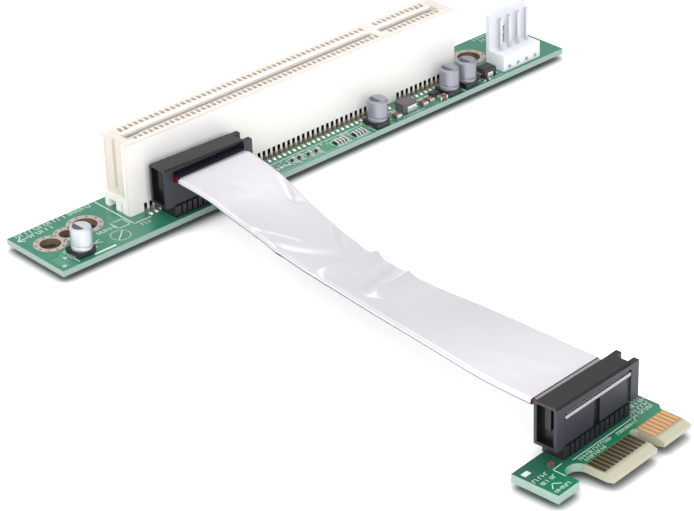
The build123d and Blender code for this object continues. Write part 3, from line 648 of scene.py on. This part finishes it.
# Flat cable
def route_line():
    """Points of the route's smooth line, in millimetres."""
    curve = bpy.data.curves.new("route", "CURVE")
    curve.dimensions = "3D"
    curve.resolution_u = 40
    spline = curve.splines.new("NURBS")
    spline.points.add(len(ROUTE) - 1)
    for point, (x, y, z) in zip(spline.points, ROUTE):
        point.co = (x * MM, y * MM, z * MM, 1)
    spline.order_u = 3
    spline.use_endpoint_u = True
    holder = bpy.data.objects.new("route", curve)
    bpy.context.scene.collection.objects.link(holder)
    bpy.context.view_layer.update()
    mesh = bpy.data.meshes.new_from_object(holder.evaluated_get(bpy.context.evaluated_depsgraph_get()))
    points = [v.co / MM for v in mesh.vertices]
    bpy.data.objects.remove(holder)
    bpy.data.curves.remove(curve)
    bpy.data.meshes.remove(mesh)
    return points


def distances(points):
    """Distance walked from the first point to each point."""
    out = [0.0]
    for a, b in zip(points, points[1:]):
        out.append(out[-1] + (b - a).length)
    return out


line = route_line()
walked = distances(line)
CABLE_RUN = walked[-1]


def along(s):
    """Place, direction, sideways and upward vectors of the cable at a distance s from its start."""
    s = min(max(s, 0.0), CABLE_RUN)
    i = min(bisect_right(walked, s) - 1, len(walked) - 2)
    place = line[i].lerp(line[i + 1], (s - walked[i]) / (walked[i + 1] - walked[i]))
    direction = (line[min(len(line) - 1, i + 4)] - line[max(0, i - 3)]).normalized()
    side = direction.cross(Vector(Z)).normalized() * -1
    rolled_in = smoothstep(*TWIST_IN, s)
    rolled_out = smoothstep(TWIST_OUT[0], CABLE_RUN - TWIST_OUT[1], s)
    side = Matrix.Rotation(TWIST * min(rolled_in, 1 - rolled_out), 3, direction) @ side
    up = side.cross(direction)
    return place, direction, side, -up if up.z < 0 else up


def sweep(name, section, stations, mat, offset, stands_for):
    """Tube along the cable: section points (t, n) lie sideways and upward, offset lifts them."""
    verts, faces = [], []
    count = len(section)
    for s in stations:
        place, _, side, up = along(s)
        for t, n in section:
            verts.append(tuple(place + side * t + up * (n + offset(s, t, n))))
    for k in range(len(stations) - 1):
        for i in range(count):
            a, b = k * count + i, k * count + (i + 1) % count
            faces.append((a, a + count, b + count, b))
    faces.append(tuple(range(count)))
    last = (len(stations) - 1) * count
    faces.append(tuple(last + i for i in range(count - 1, -1, -1)))
    return piece(name, verts, faces, M[mat], True, (stands_for,))


def ribbed(first, last):
    """Outline of wires first to last, joined side by side, the marked wire being number 0."""
    marker_side = -1 if along(0)[2].x > 0 else 1
    top = []
    for wire in range(first, last + 1):
        for step in range(5):
            across = step / 5
            t = marker_side * (CABLE_W / 2 - (wire + across) * WIRE_PITCH)
            top.append((t, WIRE_T / 2 * (0.72 + 0.28 * math.sin(math.pi * across))))
    edge = (marker_side * (CABLE_W / 2 - (last + 1) * WIRE_PITCH), 0.0)
    return top + [edge] + [(t, -n) for t, n in top[::-1]]


def relief(s, t):
    """Height of the creases and gentle waves over the flat face of the foil."""
    ends = smoothstep(0, 4, s - FOIL_FROM) * smoothstep(0, 4, CABLE_RUN - FOIL_TO - s)
    if ends <= 0:
        return 0.0
    u = t / FOIL_HALF_W
    h = 0.0
    for s0, t0, s1, t1, bow, half, height in CREASES:
        f = (u - t0) / (t1 - t0)
        if -0.15 < f < 1.15:
            g = min(1, max(0, f))
            centre = s0 + (s1 - s0) * g + bow * 2 * g * (1 - g)
            d = (s - centre) / half
            h += height * math.exp(-d * d) * smoothstep(-0.15, 0.1, f) * (1 - smoothstep(0.95, 1.15, f))
    h += 0.10 * noise.noise(Vector((s * 0.09, u * 0.8, 2.0)))
    h += 0.03 * noise.noise(Vector((s * 0.35, u * 3.0, 5.0)))
    return h * ends * (1 - 0.45 * min(1.0, abs(u)) ** 6)


def wire_offset(s, t, n):
    """The wires follow the foil's dips and not its ridges."""
    return min(0.0, relief(s, t))


def foil_offset(s, t, n):
    """The foil's underside follows only the dips of its top."""
    h = relief(s, t)
    return h if n > 0 else min(0.0, h)


def foil_section():
    """Outline of the foil, with many points across so that the creases show."""
    edge = [(FOIL_HALF_W - 0.12, FOIL_HALF_T * 0.6), (FOIL_HALF_W, 0.1),
            (FOIL_HALF_W - 0.1, -FOIL_HALF_T * 0.85)]
    flat_half = FOIL_HALF_W - 0.5
    ts = [-flat_half + 2 * flat_half * i / FOIL_ACROSS for i in range(FOIL_ACROSS + 1)]
    top = [(t, FOIL_HALF_T) for t in ts]
    low = [(-t, -FOIL_HALF_T) for t in ts]
    return top + edge + low + [(-t, -n) for t, n in edge]


def cable_cut_end():
    """The cut face of the wires beyond the second socket, with each strand showing."""
    tail, way, side, up = along(CABLE_RUN)

    def beyond_end(x, y, z):
        return tuple(tail + side * x + way * y + up * z)

    cut = Shapes(-0.20, 0.20, beyond_end)
    cut.block(0.0, -0.025, CABLE_W / 2 + 0.05, 0.075)
    for k in range(2 * WIRE_COUNT):
        t = -CABLE_W / 2 + (k + 0.5) * WIRE_PITCH / 2
        rise = 0.27 if k % 2 else 0.34
        cut.block(t, -0.01, 0.11, 0.09, -rise, rise)
    return cut.make("cable_cut_end", "cable_cut")


wire_stations = [CABLE_RUN * i / CABLE_STEPS for i in range(CABLE_STEPS + 1)]
foil_run = CABLE_RUN - FOIL_FROM - FOIL_TO
foil_stations = [FOIL_FROM + foil_run * i / FOIL_STEPS for i in range(FOIL_STEPS + 1)]
grey = sweep("flat_cable", ribbed(1, WIRE_COUNT - 1), wire_stations, "cable_grey", wire_offset,
             "cable_wires")
red = sweep("marker_wire", ribbed(0, 0), wire_stations, "cable_red", wire_offset, "cable_marker")
foil = sweep("foil_sleeve", foil_section(), foil_stations, "foil_silver", foil_offset,
             "foil_wrap")
cut_end = cable_cut_end()


# Floor
def make_floor(half=3.0):
    mesh = bpy.data.meshes.new("floor")
    corners = [(-half, -half, 0), (half, -half, 0), (half, half, 0), (-half, half, 0)]
    mesh.from_pydata(corners, [], [(0, 1, 2, 3)])
    floor = bpy.data.objects.new("floor", mesh)
    floor.location.z = FLOOR_Z * MM
    bpy.context.scene.collection.objects.link(floor)
    floor.data.materials.append(floor_material())


# Details of the long board
def slot_feet():
    """Solder and fillets at the slot's feet, both rows."""
    solder = Shapes(BOARD_TOP, BOARD_TOP + 0.03)
    fillets = Shapes(BOARD_TOP, BOARD_TOP)
    for x in CONTACT_XS:
        for side in (-1, 1):
            solder.blob(x, side * SOLDER_Y, BOARD_TOP, 0.40, 0.52, 0.32)
            solder.block(x, side * FOOT_PAD_Y, 0.36, 0.85)
            fillets.blob(x, side * FILLET_Y, BOARD_TOP, 0.29, 0.85, 0.85)
    solder.make("slot_solder", "solder")
    fillets.make("foot_fillets", "foot_solder", smooth=True)


def riser_print():
    """Plain lines, a circle, frames and rows of small strokes."""
    printed = Shapes(BOARD_TOP, BOARD_TOP + PRINT_T)
    for width, points in RISER_LINES:
        printed.stroke(points, width)
    x, y, r = RISER_CIRCLE
    circle = ring_points(x, y, r, r, 24)
    printed.stroke(circle + circle[:1], CIRCLE_STROKE)
    for x, y in CANS:
        printed.stroke([(x - 2.6, y - 2.5), (x - 2.6, y + 2.5), (x + 1.6, y + 2.5)], CAN_FRAME_STROKE)
    for x, _ in CHIPS:
        x0, x1 = x - 0.75, x + 0.75
        printed.stroke([(x0, -10.4), (x0, -7.8), (x1, -7.8), (x1, -10.4)], FRAME_STROKE)
    for x in ARRAY_XS:
        x0, x1 = x - 2.0, x + 2.0
        printed.stroke([(x0, -10.5), (x1, -10.5), (x1, -8.1), (x0, -8.1), (x0, -10.5)], FRAME_STROKE)
    for x, _ in (DIODE, CHOKE):
        printed.stroke([(x - 2.9, -10.6), (x + 2.9, -10.6)], FRAME_STROKE)
    for x0, x1, y, height in RISER_ROWS:
        printed.row(x0, x1, y, height, ROW_STROKE)
    printed.make("riser_print", "board_print")


def riser_traces():
    """Copper under the mask: short tails of the contacts, two long lines and a fan at the left end."""
    traces = Shapes(BOARD_TOP, BOARD_TOP + TRACE_T)
    for k, x in enumerate(CONTACT_XS):
        if x < -39.0 or -17.0 < x:
            drop = 0.8 + 0.5 * rng.random()
            y = -5.9
            dx = (-0.4, 0.0, 0.4)[k % 3]
            traces.stroke([(x, y), (x, y - drop), (x + dx, y - drop - abs(dx) - 0.05)], TAIL_TRACE_W)
    for y in (-10.75, -7.25):
        traces.stroke([(-16.0, y), (13.0, y)], LONG_TRACE_W)
    for k in range(9):
        y = -9.9 + 0.42 * k
        traces.stroke([(-62.6, y), (-60.8, y), (-60.6 + 0.15 * k, y + 0.15 * k)], FAN_TRACE_W)
    traces.make("riser_traces", "trace_green")


def ring_vias():
    """Small holes in the plated rings, left out where two rings meet."""
    vias = Shapes(BOARD_TOP + 0.04, BOARD_TOP + 0.065)
    for ring in RINGS:
        cx, cy, r = ring
        others = [other for other in RINGS if other != ring]
        for k in range(VIAS_PER_RING):
            a = 2 * math.pi * (k + 0.3) / VIAS_PER_RING
            x, y = cx + (r + VIA_OUT) * math.cos(a), cy + (r + VIA_OUT) * math.sin(a)
            if all(math.hypot(x - ox, y - oy) > other_r + 0.35 for ox, oy, other_r in others):
                vias.disc(x, y, VIA_R, n=12)
    vias.make("ring_vias", "via_brown")


def riser_pads():
    """Bare pads and the tinned ends on the small parts."""
    pads = Shapes(BOARD_TOP, BOARD_TOP + PRINT_T)
    for x, y in ((-60.3, -7.5), (-62.1, -9.8)):
        pads.disc(x, y, 0.42, high=BOARD_TOP + 0.03, n=16)
    for k in range(26):
        pads.disc(-15.5 + k * 1.17, -7.6 - 0.35 * (k % 3), 0.2, n=10)
    for x, y in CANS:
        for side in (-1, 1):
            pads.block(x + side * PAD_OUT, y, 0.9, 0.7)
    for x, y in (DIODE, CHOKE):
        for side in (-1, 1):
            pads.block(x + side * PAD_OUT, y, 0.75, 0.9)
    for middle in ARRAY_XS:
        for k in range(4):
            x = middle + (k - 1.5) * ARRAY_PITCH
            pads.block(x, ARRAY_Y, 0.22, 1.15, high=BOARD_TOP + 0.25)
            pads.block(x, ARRAY_Y, 0.2, 0.76, BOARD_TOP + 0.3, BOARD_TOP + 0.57)
    for x, y in CHIPS:
        for side in (-1, 1):
            pads.block(x, y + side * 0.75, 0.42, 0.42, high=BOARD_TOP + 0.22)
        pads.block(x, y, 0.16, 0.5, BOARD_TOP + 0.3, BOARD_TOP + 0.87)
    for k in range(9):
        pads.block(-13.6 + 0.95 * k, -9.55 + 0.2 * (k % 3), 0.22, 0.35, high=BOARD_TOP + 0.12)
    pads.make("riser_pads", "solder")


def terminal_plates():
    """Tin on the front faces of the diode and the choke."""
    plates = Shapes(BOARD_TOP + 0.05, BOARD_TOP + 1.15)
    plates.block(DIODE[0], DIODE[1] - 1.32, 0.75, 0.02)
    plates.block(CHOKE[0] + 0.3, CHOKE[1] - 1.47, 1.2, 0.02, high=BOARD_TOP + 1.35)
    plates.make("terminal_plates", "solder")


def notch_shade():
    """Shade in the notches of the power header's foot."""
    shade = Shapes(BOARD_TOP + 0.35, BOARD_TOP + 1.15)
    for k in range(4):
        shade.block(POWER_X + (k - 1.5) * POWER_PITCH, -9.72, 0.4, 0.02)
    shade.make("notch_shade", "can_base")


def can_marks():
    """Dark segment on the top of each capacitor."""
    marks = Shapes(CAN_TOP, CAN_TOP + 0.015)
    first, last, steps = math.radians(100), math.radians(260), 14
    step = (last - first) / steps
    for x, y in CANS:
        marks.prism(ring_points(x, y, 1.55, 1.55, steps + 1, first, last + step))
    marks.make("can_marks", "can_print")


# Details of the small card
def card_print():
    """Plain lines, rows of small strokes and one white field."""
    printed = Shapes(CARD_TOP, CARD_TOP + PRINT_T, on_card)
    for width, points in CARD_LINES:
        printed.stroke(points, width)
    for x0, x1, y, height in CARD_ROWS:
        printed.row(x0, x1, y, height, CARD_ROW_STROKE)
    printed.block(-20.15, 11.1, 0.75, 0.5)
    printed.make("card_print", "board_print")


def card_chip():
    chip = Shapes(CARD_TOP, CARD_TOP + 0.45, on_card)
    chip.block(-15.75, 9.7, 0.55, 0.4)
    chip.make("card_chip", "capacitor_brown")


make_floor()
slot_feet()
riser_print()
riser_traces()
ring_vias()
riser_pads()
terminal_plates()
notch_shade()
can_marks()
card_print()
card_chip()


# Light and camera
def softbox(name, at, size_x, size_y, power, aim=(0, -0.04, 0)):
    """A soft rectangular lamp that points at the part."""
    data = bpy.data.lights.new(name, "AREA")
    data.shape = "RECTANGLE"
    data.size = size_x
    data.size_y = size_y
    data.energy = power
    lamp = bpy.data.objects.new(name, data)
    lamp.location = at
    lamp.rotation_euler = (Vector(aim) - Vector(at)).to_track_quat("-Z", "Y").to_euler()
    bpy.context.scene.collection.objects.link(lamp)


def make_world(strength):
    world = bpy.data.worlds.new("studio")
    bpy.context.scene.world = world
    world.use_nodes = True
    background = world.node_tree.nodes["Background"]
    background.inputs["Color"].default_value = (1, 1, 1, 1)
    background.inputs["Strength"].default_value = strength


def make_camera():
    data = bpy.data.cameras.new("camera")
    data.lens = LENS
    data.sensor_width = SENSOR
    data.clip_start = 0.01
    data.clip_end = 50
    camera = bpy.data.objects.new("camera", data)
    bpy.context.scene.collection.objects.link(camera)
    turn_z, turn_x, roll = (math.radians(a) for a in CAMERA_TURN)
    camera.matrix_world = (Matrix.Translation([v * MM for v in CAMERA_AT]) @ Matrix.Rotation(turn_z, 4, "Z")
                           @ Matrix.Rotation(turn_x, 4, "X") @ Matrix.Rotation(roll, 4, "Z"))
    bpy.context.scene.camera = camera


make_world(0.55)
softbox("top_light", (0.05, 0.1, 0.75), 0.8, 0.8, 3.4)
softbox("front_light", (-0.45, -0.75, 0.42), 0.8, 0.6, 5.4)
softbox("left_light", (-0.75, 0.05, 0.35), 0.6, 0.5, 1.6)
make_camera()
bpy.context.scene.view_settings.view_transform = "Standard"
